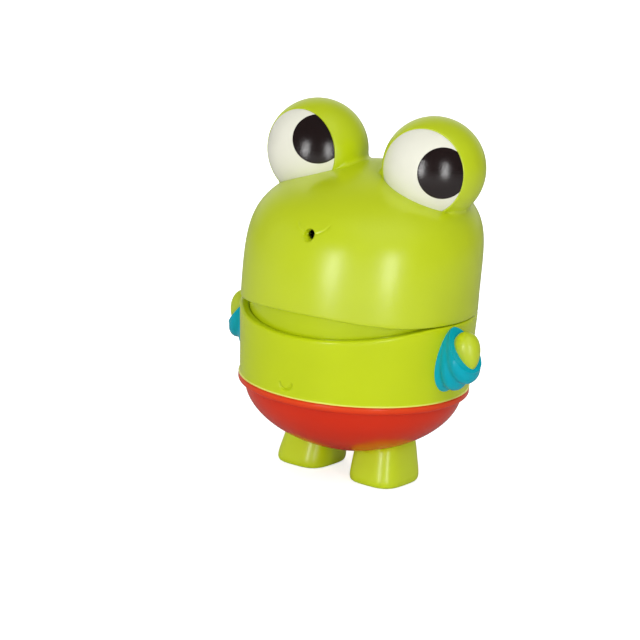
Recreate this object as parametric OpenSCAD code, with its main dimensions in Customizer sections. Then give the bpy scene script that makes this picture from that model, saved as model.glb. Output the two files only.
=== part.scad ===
// Soft vinyl frog bath toy that squirts from its nose and squeaks when squeezed.
// Millimetres. The frog stands on its soles at z = 0, faces -Y, and its own left side is +X.
// The head plugs over a neck ring that also plugs into the cup shaped torso.

/* [Torso] */
// Outer radius at the rim, which the head above it shares
rim_r = 26.5; // [25:0.1:29]
// How far the waist stands inside the rim
waist_in = 0.8; // [0.4:0.1:2]
// How far the bowl stands inside the waist, under the waistband
bowl_in = 1.3; // [1:0.1:2]
// Height of the green wall from the waist to the rim
torso_h = 17.3; // [15:0.1:24]
// Depth of the bowl below the waistband
bowl_h = 14.1; // [11.5:0.1:17]
// Thickness of the torso wall around the bowl
torso_wall = 1.9; // [1.4:0.1:2.4]
// Thickness of the wall around the neck ring, in the torso and in the head
neck_wall = 2; // [1.7:0.1:2.4]
// How far the rim dips at the front to open the mouth
smile_dip = 3.5; // [2:0.1:5]
// Angle from the front to each corner of the mouth
smile_angle = 72; // [55:1:85]
// Chamfer along both edges of the rim
rim_bevel = 0.5; // [0.3:0.05:0.7]
// Width of the belly button crease
navel_w = 3.2; // [2:0.1:5]
// Thickness of the belly button crease
navel_line = 0.5; // [0.3:0.05:0.8]
// Depth of the belly button crease
navel_deep = 0.7; // [0.4:0.05:1]
// Height of the belly button above the waist
navel_up = 3.1; // [2.5:0.1:7]

/* [Trunks] */
// Thickness of the trunks
trunks_wall = 0.9; // [0.6:0.1:1.3]
// Height of the waistband
band_h = 2.1; // [1.4:0.1:3]
// How far the waistband stands out from the wall above it
band_out = 0.3; // [0.15:0.05:0.6]

/* [Head] */
// Height of the head from the split to the crown
head_h = 31.9; // [28:0.1:36]
// Thickness of the head wall
head_wall = 1.9; // [1.4:0.1:2.4]
// How far the crown lies behind the middle
crown_back = 5.3; // [3:0.1:7]
// How far the upper lip arches at the front
lip_rise = 1.65; // [0.5:0.05:2]
// Angle from the front to each end of the lip's arch
lip_angle = 62; // [50:1:80]
// Turn of the head on its neck ring toward the frog's left
head_turn_angle = 5; // [-90:0.1:90]

/* [Eyes] */
// Outer radius of each eyeball
eye_r = 11.4; // [9.5:0.1:12.5]
// How far the side of each eyeball stands inside the side of the head
eye_in = 0.2; // [0:0.05:2]
// Height of the eye centres above the split
eye_up = 32.1; // [30:0.1:34]
// Distance of the eye centres behind the middle
eye_back = 2.6; // [0:0.1:5]
// Thickness of the white of the eye
white_t = 0.7; // [0.5:0.05:0.9]
// Step from the eyelid down to the white
lid_step = 0.15; // [0.05:0.05:0.3]
// Thickness of the pupil
pupil_t = 0.35; // [0.2:0.05:0.4]
// Half angle of the white, seen from the eye centre
white_angle = 57.5; // [45:0.5:65]
// Turn of each white away from straight ahead
white_turn_angle = 6; // [0:1:15]
// Half angle of the pupil, seen from the eye centre
pupil_angle = 31; // [22:0.5:34]
// Turn of the left pupil toward the frog's left
left_glance_angle = 39.5; // [20:0.1:50]
// Lift of the left pupil
left_lift_angle = 4.6; // [-5:0.1:20]
// Turn of the right pupil toward the frog's left
right_glance_angle = 30; // [20:0.1:40]
// Lift of the right pupil
right_lift_angle = 22; // [-5:0.1:25]

/* [Nose] */
// Radius of the squirt hole
nozzle_r = 0.85; // [0.4:0.05:1]
// Radius of the pocket round the squirt hole
pocket_r = 1.45; // [1.1:0.05:1.6]
// Depth of that pocket
pocket_deep = 1; // [0.6:0.1:1.4]
// Height of the squirt hole above the split
nozzle_up = 18.5; // [14:0.1:20]
// Tilt of the squirt hole above level
nozzle_tilt = 5; // [0:1:30]
// Radius of the thickened boss behind the squirt hole
boss_r = 2.6; // [2:0.1:3.5]
// Length of that boss behind the wall
boss_len = 2.2; // [1.4:0.1:3]

/* [Neck ring] */
// Height of the neck ring
ring_h = 16; // [12:0.5:18]
// Thickness of the neck ring
ring_wall = 1.5; // [1:0.1:2]
// How much of the neck ring stands above the split
ring_up = 8; // [6:0.5:9]
// Width of the ledges that the neck ring rests on and holds up
ledge_w = 1.1; // [0.8:0.1:1.4]
// Thickness of the ledge inside the head
ledge_t = 1.5; // [1:0.1:2]
// Corner chamfer of the neck ring
ring_bevel = 0.4; // [0.2:0.1:0.6]

/* [Feet] */
// Height of the bowl's lowest point above the floor
foot_h = 5.8; // [5:0.1:10]
// Width of each foot
foot_w = 12.8; // [9:0.1:13.5]
// Length of each foot from front to back
foot_len = 15.2; // [12:0.1:18]
// Distance between the foot centres
foot_spread = 20.2; // [18.5:0.1:24]

/* [Arms] */
// Radius of the fist at its thickest
fist_r = 2.85; // [2.6:0.05:3.8]
// Length of the fist
fist_len = 8.6; // [7.5:0.1:10.5]
// Distance from the top of the armband down to the fist
fist_drop = 0.5; // [0.1:0.1:1.5]
// Lean of the fist, whose lower end points away from the body
fist_lean_angle = 17; // [0:1:25]
// Radius of the arm inside the armband
arm_r = 1.5; // [1:0.1:2]
// Distance from the wall of the torso out to the top of the fist
fist_out = 3.9; // [3.6:0.1:5.5]
// Distance of the arms in front of the middle
arm_front = 1.7; // [0:0.1:4]
// Turn of the arms toward the front
arm_turn_angle = 6; // [0:1:25]
// How much lower the right arm sits
right_arm_drop = 2.2; // [0:0.1:2.5]

/* [Armbands] */
// Length of the roll next to the body
roll_in_len = 15.2; // [12:0.1:17]
// Length of the roll at the fist
roll_out_len = 12.6; // [10:0.1:14]
// Width of the armband from front to back
roll_w = 9.9; // [8:0.1:12]
// Depth of the grooves between the rolls
roll_groove = 0.55; // [0.3:0.05:1]
// Distance from the split down to the top of the armband
band_drop = 0.2; // [0.1:0.1:3]
// Lean of the outermost roll away from the body
roll_lean_angle = 41; // [25:1:50]
// Lean of the innermost roll into the body
roll_tuck_angle = 6; // [0:1:20]
// Number of rolls
roll_count = 3; // [2:1:4]

/* [Squeaker] */
// Outer radius of the squeaker's barrel, which stands on the floor of the bowl
squeak_r = 4.2; // [3.8:0.1:5]
// Height of the barrel above the floor
squeak_h = 8.4; // [7.6:0.1:10]
// Wall of the barrel
squeak_wall = 0.8; // [0.6:0.1:1]
// Outer radius of the neck through the bottom of the bowl
squeak_neck_r = 2.1; // [1.8:0.1:2.4]
// Outer radius of the flange that grips the bowl from below
squeak_flange_r = 2.8; // [2.6:0.1:3]
// Thickness of that flange
squeak_flange_t = 0.6; // [0.4:0.1:0.8]
// Radius of the sound hole
sound_r = 1; // [0.7:0.1:1.2]
// Radius of the post that the reed lies against
post_r = 1.7; // [1.5:0.1:2]
// Thickness of the lid
squeak_lid_t = 1; // [0.8:0.1:1.3]
// Radius of the air hole in the lid
air_r = 0.7; // [0.4:0.1:1]
// Width of the reed
reed_w = 2.4; // [1.6:0.1:3]
// Length of the reed from its bead to its tip
reed_len = 4.8; // [4:0.1:5.2]
// Thickness of the reed
reed_t = 0.25; // [0.15:0.05:0.35]
// Radius of the bead that the reed hangs from
reed_bead_r = 0.4; // [0.35:0.05:0.5]

/* [Fits] */
// Running clearance of the neck ring in both bores
ring_clear = 0.05; // [0.03:0.01:0.1]
// Gap between the rim and the head's lip
split_gap = 0.15; // [0.1:0.05:0.4]
// Gap between the reed and the post
reed_gap = 0.3; // [0.25:0.05:0.4]
// Running clearance of the reed's bead
bead_clear = 0.06; // [0.04:0.01:0.1]

/* [Hidden] */
$fn = 96;

vinyl_green = [0.72, 0.78, 0.11];
trunks_red = [0.80, 0.22, 0.12];
band_teal = [0.02, 0.62, 0.68];
eye_cream = [0.92, 0.92, 0.86];
pupil_brown = [0.17, 0.11, 0.12];
collar_green = [0.62, 0.69, 0.06];
squeaker_white = [0.9, 0.9, 0.9];

// One overrun serves every cut.
over = torso_wall / 2;

// Heights and radii that the pieces share.
bowl_z = foot_h + bowl_h;
waist_z = bowl_z + band_h;
split_z = waist_z + torso_h;
lip_z = split_z + split_gap;
waist_r = rim_r - waist_in;
bowl_r = waist_r - bowl_in;
head_r = rim_r;
bore_r = rim_r - neck_wall;
ring_r = bore_r - ring_clear;
ring_top_z = split_z + ring_up;
ring_low_z = ring_top_z - ring_h;
ledge_r = bore_r - ledge_w;
eye_z = split_z + eye_up;
skin_r = bowl_r - trunks_wall;
inside_r = skin_r - torso_wall;
floor_z = foot_h + trunks_wall + torso_wall;

// Shares that set how full the curves are.
bowl_share = 1.11;
dome_flat_share = 5.6;
dome_round_share = 0.87;
crown_share = 2.2;
lip_share = 2;
ring_spread_share = 0.6;
band_bevel_share = 0.2;
foot_height_shares = [0, 0.04, 0.12, 0.25, 0.5, 0.8, 1.1, 2];
foot_width_shares = [0.88, 0.95, 0.985, 1, 0.975, 0.93, 0.885, 0.77];
foot_square_share = 0.65;
pinch_share = 0.01;
roll_top_share = 0.72;
roll_low_share = 1.06;
groove_share = 3;
egg_share = 0.2;
air_place_share = 0.6;

// Counts of steps and sides in the lofts.
dome_steps = 15;
dome_sides = 56;
dome_inner_steps = 10;
dome_inner_sides = 40;
rim_sides = 64;
foot_sides = 28;
roll_steps = 24;
roll_sides = 24;
arc_steps = 18;

// A point at an angle from the front, which grows toward the frog's left.
function around(r, angle, z, back = 0) = [r * sin(angle), back - r * cos(angle), z];

// The mouth: the rim dips and the lip arches between the two corners.
function arch(angle, half) = abs(angle) < half ? cos(angle * 90 / half) : 0;
function signed(angle) = angle > 180 ? angle - 360 : angle;
function rim_height(angle) = split_z - smile_dip * arch(signed(angle), smile_angle);
function lip_height(angle) = lip_z + lip_rise * pow(arch(signed(angle), lip_angle), lip_share);

// A closed solid through stacked rings of equal count, with a fan at each end.
function loft_points(rings, low, high) = concat([low], [for (ring = rings) each ring], [high]);
function loft_faces(n, m) = concat(
    [for (j = [0:n - 1]) [0, 1 + j, 1 + (j + 1) % n]],
    [for (i = [0:m - 2]) for (j = [0:n - 1]) each [
        [1 + i * n + j, 1 + (i + 1) * n + j, 1 + (i + 1) * n + (j + 1) % n],
        [1 + i * n + j, 1 + (i + 1) * n + (j + 1) % n, 1 + i * n + (j + 1) % n]
    ]],
    [for (j = [0:n - 1]) [1 + m * n, 1 + (m - 1) * n + (j + 1) % n, 1 + (m - 1) * n + j]]
);
module loft(rings, low, high) {
    polyhedron(loft_points(rings, low, high), loft_faces(len(rings[0]), len(rings)));
}

// Torso: a bowl that rises into a slightly flared wall.
function bowl_arc(r, h) = [
    for (i = [0:arc_steps]) let (t = 90 * i / arc_steps)
    [r * pow(cos(t), bowl_share), bowl_z - h * pow(sin(t), bowl_share)]
];

module trunks_solid() {
    rotate_extrude()
        polygon(concat([[0, bowl_z]], bowl_arc(bowl_r, bowl_h)));
}

module torso_solid() {
    rotate_extrude()
        polygon([[0, waist_z], [waist_r, waist_z], [rim_r, split_z], [0, split_z]]);
}

// Everything above the wavy rim, which has a chamfer along both of its edges.
module above_rim() {
    function ring(r, drop) = [
        for (j = [0:rim_sides - 1]) let (a = j * 360 / rim_sides) around(r, a, rim_height(a) - drop)
    ];
    top = [for (j = [0:rim_sides - 1]) around(rim_r + over, j * 360 / rim_sides, split_z + over)];
    loft(
        [
            ring(bore_r - over, rim_bevel + over), ring(bore_r + rim_bevel, 0),
            ring(rim_r - rim_bevel, 0), ring(rim_r + over, rim_bevel + over), top
        ],
        [0, 0, split_z - smile_dip - over], [0, 0, split_z + over]
    );
}

// Belly button: the lower half of a circle, cut as a crease.
module navel() {
    wall_r = waist_r + (rim_r - waist_r) * navel_up / torso_h;
    translate([0, -wall_r, waist_z + navel_up])
        rotate([90, 0, 0])
        rotate([0, 0, 180])
        rotate_extrude(angle = 180)
        translate([navel_w / 2 - navel_line / 2, 0])
        scale([1, 2 * navel_deep / navel_line])
        circle(d = navel_line);
}

module torso_shell() {
    color(vinyl_green)
    difference() {
        rotate_extrude()
            polygon(concat(
                [[0, split_z + over / 2], [rim_r, split_z + over / 2]],
                [[rim_r, split_z], [waist_r, waist_z], [skin_r, waist_z]],
                bowl_arc(skin_r, bowl_h - trunks_wall)
            ));
        rotate_extrude()
            polygon(concat(
                [[0, split_z + over], [bore_r, split_z + over], [bore_r, ring_low_z]],
                [[ledge_r, ring_low_z], [inside_r, waist_z + torso_wall]],
                bowl_arc(inside_r, bowl_z - floor_z)
            ));
        above_rim();
        squeaker_room();
        navel();
    }
}

// The room that the squeaker takes in the floor of the bowl.
module squeaker_room() {
    cylinder(r = squeak_neck_r, h = bowl_z);
    cylinder(r = squeak_flange_r, h = foot_h + squeak_flange_t);
    translate([0, 0, floor_z]) cylinder(r = squeak_r, h = bowl_h);
}

module trunks() {
    bevel = band_h * band_bevel_share;
    color(trunks_red)
    difference() {
        union() {
            trunks_solid();
            rotate_extrude()
                polygon([
                    [0, bowl_z], [waist_r, bowl_z], [waist_r + band_out, bowl_z + bevel],
                    [waist_r + band_out, waist_z - bevel], [waist_r, waist_z], [0, waist_z]
                ]);
        }
        rotate_extrude()
            polygon(concat([[0, waist_z + over], [skin_r, waist_z + over]],
                bowl_arc(skin_r, bowl_h - trunks_wall)));
        squeaker_room();
    }
}

// Feet: rounded pads that flare toward the sole, cut to the bowl that they carry.
function blunt(v) = sign(v) * pow(abs(v), foot_square_share);
function foot_ring(k) = [
    for (j = [0:foot_sides - 1]) let (a = j * 360 / foot_sides, s = foot_width_shares[k]) [
        s * foot_w / 2 * blunt(sin(a)), -s * foot_len / 2 * blunt(cos(a)), foot_height_shares[k] * foot_h
    ]
];

module foot() {
    steps = len(foot_height_shares);
    top_z = foot_height_shares[steps - 1] * foot_h;
    difference() {
        translate([foot_spread / 2, 0, 0])
            loft([for (k = [0:steps - 1]) foot_ring(k)], [0, 0, 0], [0, 0, top_z]);
        trunks_solid();
    }
}

module left_foot() color(vinyl_green) foot();
module right_foot() color(vinyl_green) mirror([1, 0, 0]) foot();

// Armbands: rolls that fan out from a pinch at the top, as on a bent arm.
band_top_z = split_z - band_drop;
function between(low, high, share) = low + (high - low) * share;
function groove(t) = roll_groove * pow(abs(cos(t * 180 * roll_count)), groove_share);
function fan_ring(t) = [
    for (j = [0:roll_sides - 1]) let (
        a = j * 360 / roll_sides,
        down = (1 - cos(a)) / 2,
        lean = between(-roll_tuck_angle, roll_lean_angle, t),
        dent = groove(t) * down,
        long = between(roll_in_len, roll_out_len, t) - 2 * dent,
        along = long * between(pinch_share, 1, down),
        across = (roll_w / 2 - dent) * sin(a) * between(roll_top_share, roll_low_share, down)
    ) [between(waist_in, 0, down) + along * sin(lean), -across, -along * cos(lean)]
];
function middle(points) = [for (k = [0:2]) let (v = [for (p = points) p[k]]) (max(v) + min(v)) / 2];

module arm_place(drop) {
    translate([waist_r, -arm_front, band_top_z - drop]) rotate([0, 0, -arm_turn_angle]) children();
}

// Fist: an egg with its thick end up, on a straight arm into the torso.
function egg(r, h) = [
    for (i = [0:arc_steps]) let (t = 180 * i / arc_steps)
    [r * sin(t) * (1 - egg_share * cos(t)), h * (1 - cos(t)) / 2]
];

module fist_solid(drop) {
    arm_place(drop)
        translate([fist_out, 0, -fist_drop]) {
            rotate([0, -fist_lean_angle, 0])
                translate([0, 0, -fist_len])
                rotate_extrude() polygon(egg(fist_r, fist_len));
            translate([0, 0, -fist_len / 2]) rotate([0, -90, 0]) cylinder(r = arm_r, h = fist_out + fist_r);
        }
}

module arm(drop) {
    difference() {
        fist_solid(drop);
        torso_solid();
    }
}

module left_arm() color(vinyl_green) arm(0);
module right_arm() color(vinyl_green) mirror([1, 0, 0]) arm(right_arm_drop);

module armband(drop) {
    rings = [for (i = [0:roll_steps]) fan_ring(i / roll_steps)];
    difference() {
        arm_place(drop) loft(rings, middle(rings[0]), middle(rings[roll_steps]));
        torso_solid();
        fist_solid(drop);
        cylinder(r = waist_r + band_out, h = waist_z);
    }
}

module left_armband() color(band_teal) armband(0);
module right_armband() color(band_teal) mirror([1, 0, 0]) armband(right_arm_drop);

// Squeaker: a barrel on the floor of the bowl, with a reed that hangs from the lid
// and lies in front of the half round post over the sound hole.
lid_z = floor_z + squeak_h - squeak_lid_t;
bead_z = lid_z - 2 * reed_bead_r;
reed_y = -reed_gap - reed_t / 2;

module squeaker_case() {
    in_r = squeak_r - squeak_wall;
    color(squeaker_white)
    difference() {
        union() {
            translate([0, 0, floor_z]) cylinder(r = squeak_r, h = squeak_h);
            translate([0, 0, foot_h]) cylinder(r = squeak_neck_r, h = squeak_h);
            translate([0, 0, foot_h]) cylinder(r = squeak_flange_r, h = squeak_flange_t);
        }
        difference() {
            translate([0, 0, floor_z + squeak_wall]) cylinder(r = in_r, h = squeak_h);
            intersection() {
                cylinder(r = post_r, h = bead_z - 2 * reed_bead_r);
                translate([-post_r, 0, 0]) cube([2 * post_r, post_r, lid_z]);
            }
        }
        translate([0, 0, foot_h - over]) cylinder(r = sound_r, h = bead_z - foot_h - 2 * reed_bead_r);
    }
}

module squeaker_lid() {
    in_r = squeak_r - squeak_wall;
    block_w = reed_w + 2 * squeak_wall;
    block_t = 2 * reed_bead_r + 2 * squeak_wall;
    color(squeaker_white)
    difference() {
        union() {
            translate([0, 0, lid_z]) cylinder(r = in_r, h = squeak_lid_t);
            translate([-block_w / 2, reed_y - block_t / 2, bead_z - reed_bead_r / 2])
                cube([block_w, block_t, lid_z - bead_z + reed_bead_r]);
        }
        translate([-reed_w / 2 - bead_clear, reed_y, bead_z])
            rotate([0, 90, 0]) cylinder(r = reed_bead_r + bead_clear, h = reed_w + 2 * bead_clear);
        translate([0, in_r * air_place_share, lid_z - over])
            cylinder(r = air_r, h = squeak_lid_t + 2 * over);
    }
}

module squeaker_reed() {
    color("gold")
    union() {
        translate([-reed_w / 2, reed_y, bead_z]) rotate([0, 90, 0]) cylinder(r = reed_bead_r, h = reed_w);
        translate([-reed_w / 2, reed_y - reed_t / 2, bead_z - reed_len]) cube([reed_w, reed_t, reed_len]);
    }
}

module neck_ring() {
    in_r = ring_r - ring_wall;
    color(collar_green)
    rotate_extrude()
        polygon([
            [in_r, ring_low_z], [ring_r - ring_bevel, ring_low_z], [ring_r, ring_low_z + ring_bevel],
            [ring_r, ring_top_z - ring_bevel], [ring_r - ring_bevel, ring_top_z], [in_r, ring_top_z]
        ]);
}

// Head: stacked circles that shrink and slide back toward the crown. It stands turned on its ring.
module head_place() {
    rotate([0, 0, head_turn_angle]) children();
}

function dome_rise(i) = pow(sin(90 * i / dome_steps), ring_spread_share);
function dome_ring(r, h, u, sides) = [
    for (j = [0:sides - 1])
    around(r * pow(1 - pow(u, dome_flat_share), dome_round_share), j * 360 / sides,
        lip_z + h * u, crown_back * pow(u, crown_share))
];

module dome_outside() {
    lip = [for (j = [0:dome_sides - 1]) let (a = j * 360 / dome_sides) around(head_r, a, lip_height(a))];
    rings = [for (i = [1:dome_steps - 1]) dome_ring(head_r, head_h - split_gap, dome_rise(i), dome_sides)];
    loft(concat([lip], rings), [0, 0, lip_z], [0, crown_back, split_z + head_h]);
}

module dome_inside() {
    low_z = ring_top_z + ledge_t;
    h = head_h - split_gap - head_wall;
    first = (low_z - lip_z) / h;
    rings = [
        for (i = [0:dome_inner_steps - 1]) let (u = between(first, 1, sin(90 * i / dome_inner_steps)))
        dome_ring(head_r - head_wall, h, u, dome_inner_sides)
    ];
    loft(rings, [0, 0, low_z], [0, crown_back, lip_z + h]);
}

module eye_place(side) {
    translate([side * (head_r - eye_in - eye_r), eye_back, eye_z]) children();
}

module look(turn, lift) {
    rotate([0, 0, turn]) rotate([-lift, 0, 0]) children();
}

module front_of(half) {
    translate([-2 * eye_r, -2 * eye_r, -2 * eye_r])
        cube([4 * eye_r, 2 * eye_r - eye_r * cos(half), 4 * eye_r]);
}

module white_region(side, r) {
    intersection() {
        sphere(r);
        look(side * white_turn_angle, 0) front_of(white_angle);
    }
}

module pupil_front(side) {
    turn = side > 0 ? left_glance_angle : right_glance_angle;
    lift = side > 0 ? left_lift_angle : right_lift_angle;
    look(turn, lift) front_of(pupil_angle);
}

module head_shell() {
    color(vinyl_green)
    head_place()
    difference() {
        union() {
            dome_outside();
            for (side = [-1, 1])
                eye_place(side)
                difference() {
                    sphere(eye_r);
                    difference() {
                        white_region(side, eye_r + over);
                        sphere(eye_r - lid_step - white_t);
                    }
                }
        }
        difference() {
            union() {
                dome_inside();
                for (side = [-1, 1]) eye_place(side) sphere(eye_r - head_wall);
            }
            nozzle_place() cylinder(r = boss_r, h = boss_len + head_wall);
        }
        translate([0, 0, split_z - over]) cylinder(r = bore_r, h = ring_top_z - split_z + over);
        translate([0, 0, split_z]) cylinder(r = ledge_r, h = ring_up + ledge_t + over);
        nozzle_place() {
            translate([0, 0, -2 * head_wall]) cylinder(r = nozzle_r, h = boss_len + 4 * head_wall);
            translate([0, 0, -over]) cylinder(r = pocket_r, h = pocket_deep + over);
        }
    }
}

// The squirt hole's place on the front of the head, with +Z inward.
module nozzle_place() {
    h = head_h - split_gap;
    u = (nozzle_up - split_gap) / h;
    translate(dome_ring(head_r, h, u, dome_sides)[0]) rotate([-90 - nozzle_tilt, 0, 0]) children();
}

module eye_white(side) {
    color(eye_cream)
    head_place()
    difference() {
        eye_place(side)
            difference() {
                white_region(side, eye_r - lid_step);
                sphere(eye_r - lid_step - white_t);
                difference() {
                    pupil_front(side);
                    sphere(eye_r - lid_step - pupil_t);
                }
            }
        dome_outside();
    }
}

module pupil(side) {
    color(pupil_brown)
    head_place()
    difference() {
        eye_place(side)
            difference() {
                intersection() {
                    white_region(side, eye_r - lid_step);
                    pupil_front(side);
                }
                sphere(eye_r - lid_step - pupil_t);
            }
        dome_outside();
    }
}

module left_eye_white() eye_white(1);
module right_eye_white() eye_white(-1);
module left_pupil() pupil(1);
module right_pupil() pupil(-1);

torso_shell();
trunks();
left_foot();
right_foot();
left_arm();
right_arm();
left_armband();
right_armband();
squeaker_case();
squeaker_reed();
squeaker_lid();
neck_ring();
head_shell();
left_eye_white();
right_eye_white();
left_pupil();
right_pupil();
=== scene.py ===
# Looks of a soft vinyl frog bath toy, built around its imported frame.
# Lengths are in millimetres until finish_piece() brings a mesh to metres. Only
# the lights, the floor and the camera's clipping are given in metres.
# The frog faces -Y, its own left side is +X, and it stands at z = 0.
import math

import bmesh
import bpy
import numpy as np
from mathutils import Matrix, Vector


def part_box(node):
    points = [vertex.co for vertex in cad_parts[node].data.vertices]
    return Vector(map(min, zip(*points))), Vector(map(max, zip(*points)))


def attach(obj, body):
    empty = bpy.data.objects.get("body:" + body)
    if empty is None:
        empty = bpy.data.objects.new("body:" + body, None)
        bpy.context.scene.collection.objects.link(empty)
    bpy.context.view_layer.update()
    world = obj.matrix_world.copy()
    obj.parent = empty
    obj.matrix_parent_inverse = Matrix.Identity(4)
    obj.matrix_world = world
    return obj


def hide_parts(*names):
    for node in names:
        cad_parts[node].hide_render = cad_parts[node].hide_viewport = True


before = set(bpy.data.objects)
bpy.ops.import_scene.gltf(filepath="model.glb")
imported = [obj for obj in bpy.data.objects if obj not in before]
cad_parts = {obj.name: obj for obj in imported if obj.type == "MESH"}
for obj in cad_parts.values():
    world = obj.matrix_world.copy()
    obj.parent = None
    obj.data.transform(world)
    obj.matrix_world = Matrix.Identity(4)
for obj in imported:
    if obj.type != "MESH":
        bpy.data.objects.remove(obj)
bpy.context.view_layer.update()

MM = 0.001
UP = Vector((0, 0, 1))

# Steps in a full turn of a spun shape
FINE_TURN = 192
COLLAR_TURN = 160
SMOOTH_TURN = 128
PLAIN_TURN = 64
BOSS_TURN = 48
HOLE_TURN = 40
SMALL_TURN = 32

# Vertices closer than this are one
WELD = 1e-4

# The least length that anything is divided by, and one that no piece reaches
TINY = 1e-6
FAR = 1e3


def low(node):
    """Lowest corner of a node of the frame, in millimetres."""
    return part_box(node)[0] / MM


def high(node):
    """Highest corner of a node of the frame, in millimetres."""
    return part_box(node)[1] / MM


# Heights and radii that come from the frame
WAIST_Z = high("trunks").z
SPLIT_Z = high("torso_shell").z
LIP_Z = low("head_shell").z
RING_R = high("neck_ring").x
RING_LOW = low("neck_ring").z
RING_TOP = high("neck_ring").z
BAND_R = high("trunks").x

# Torso, trunks and collar. BOWL_SHARE squares off the curve of the bowls.
RIM_R = 26.5
WAIST_R = 25.7
WALL = 1.9
BORE_R = 24.5
LEDGE_R = 23.4
BOWL_R = 24.4
BOWL_DEPTH = 14.1
BOWL_SHARE = 1.11
BAND_H = 2.1
BOWL_Z = WAIST_Z - BAND_H
SKIN_R = 23.5
SKIN_DEPTH = 13.2
INSIDE_R = 21.6
INSIDE_DEPTH = 11.3
NECK_HOLE_R = 2.15
WALL_COVE = 0.3
WALL_COVE_AT = (0.32, 0.34)
WALL_START = 0.8
RIM_ROUND = 0.55
RIM_INNER_ROUND = 0.4
RIM_LAND = 1
# The slope under the ring's ledge: how far in and how far down it starts
LEDGE_SLOPE = (0.2, 0.8)
# The rim's dip that makes the lower lip: its depth, half angle, the softness of its
# corners, the angles over which it ends, and the height where it starts to pull
SMILE_DIP = 3.5
SMILE_ANGLE = 72
SMILE_SOFT = 0.01
SMILE_FADE = (80, 100)
SMILE_ROOT_Z = 27
# The navel is the lower part of a circle's line, pressed in
NAVEL_R = 1.6
NAVEL_Z = 25.15
NAVEL_DEEP = 0.35
NAVEL_W = 0.26
NAVEL_FADE = (-12, 8)
NAVEL_TOP = 0.4
# Skins that lie on each other stand this far apart
SKIN_GAP = 0.02
BAND_COVE = 0.5
BAND_COVE_DROP = 0.1
BAND_LOW_ROUND = 0.6
BAND_LOW_RISE = 1.0
BAND_TOP_ROUND = 0.5
COLLAR_WALL = 1.5
COLLAR_ROUND = 0.4

# Head. At a share u of its rise, the dome's radius is HEAD_R times
# (1 - u ** FLAT_SHARE) ** ROUND_SHARE, and it lies CROWN_BACK * u ** SLIDE_SHARE back.
HEAD_TURN = 5
HEAD_R = RIM_R
HEAD_RISE = 31.75
CROWN_BACK = 5.3
FLAT_SHARE = 5.6
ROUND_SHARE = 0.87
SLIDE_SHARE = 2.2
CROWN_ROUND = 2.0
LIP_RISE = 1.65
LIP_ANGLE = 62
LIP_BAND = 6.0
LIP_ROUND = 0.4
LEDGE_T = 1.5
BORE_CLEAR = 3
UNDERSIDE_R = 12
DOME_SAMPLES = 2000
DOME_SPACING = 0.8
HOLLOW_SPACING = 1.2
HOLLOW_START = 0.3
HOLLOW_RAMP = 6
NOSE_Z = 57.8
POCKET_R = 1.45
POCKET_FLAT_R = 0.9
POCKET_DEEP = 1.4
# The squirt hole: its radii, and the depths between which it widens and where it ends
HOLE_R = 0.94
HOLE_WIDE_R = 1.9
HOLE_FLARE = (1.8, 2.3)
HOLE_ENDS = (-4, 8)
BOSS_R = 2.6
BOSS_LEN = 4.1
BOSS_START = -6

# The two creases beside the squirt hole are arcs that fade at both ends, in degrees
CREASE_CENTRE = (1.15, 3.5)
CREASE_R = 3.0
CREASE_W = 0.24
CREASE_INNER_FADE = (-96, -76)
CREASE_OUTER_FADE = (-34, -8)
RIGHT_CREASE_DEEP = 0.1
LEFT_CREASE_DEEP = 0.19

# Patches on the front that are cut finer: half width, middle height, half height, front
NOSE_PATCH = (5.4, NOSE_Z + 1, 4, -10)
NAVEL_PATCH = (2.8, NAVEL_Z - 0.6, 2.2, -24.5)

# Eyes. A glance is a turn toward +X and a lift, in degrees.
EYE_R = 11.4
EYE_X = 14.9
EYE_Y = 2.6
EYE_Z = high("head_shell").z - EYE_R
EYE_HOLLOW_R = 9.5
WHITE_R = 11.25
WHITE_UNDER_R = 10.55
WHITE_ANGLE = 57.5
WHITE_TURN = 6
PUPIL_R = 11.31
PUPIL_UNDER_R = 10.9
PUPIL_ANGLE = 31
LEFT_GLANCE = (39.5, 4.6)
RIGHT_GLANCE = (30, 22)
LID_ROUND = 0.12
PAINT_ROUND = 0.05
PAINT_INSET = 0.3
WHITE_LIFT = 0.04
PUPIL_CUT = 0.12
CUT_SNAP = 1e-5
# The fillet between eyelids and dome grows between two angles from the eye's axis
FILLET = 1.4
FILLET_LEAST = 1e-3
FILLET_FADE = (WHITE_ANGLE + 2, WHITE_ANGLE + 14)
SEAM_ANGLE = WHITE_ANGLE + 1.5
SEAM_CUT_REACH = 2.6
SEAM_SOFT_REACH = 2.3
SEAM_SLIVER = 0.02
SEAM_ROUNDS = 8

# Feet. The shares give height and width of the pad's rings, from the sole up.
FOOT_W = 12.8
FOOT_LEN = 15.2
FOOT_X = 10.1
FOOT_H = 5.8
FOOT_HEIGHT_SHARES = [0, 0.04, 0.12, 0.25, 0.5, 0.8, 1.1, 2]
FOOT_WIDTH_SHARES = [0.88, 0.95, 0.985, 1, 0.98, 0.945, 0.91, 0.82]
FOOT_HEEL = 0.7
FOOT_HEEL_LEVEL = 3
FOOT_SQUARE = 0.6
FOOT_SINK = 0.4

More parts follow.
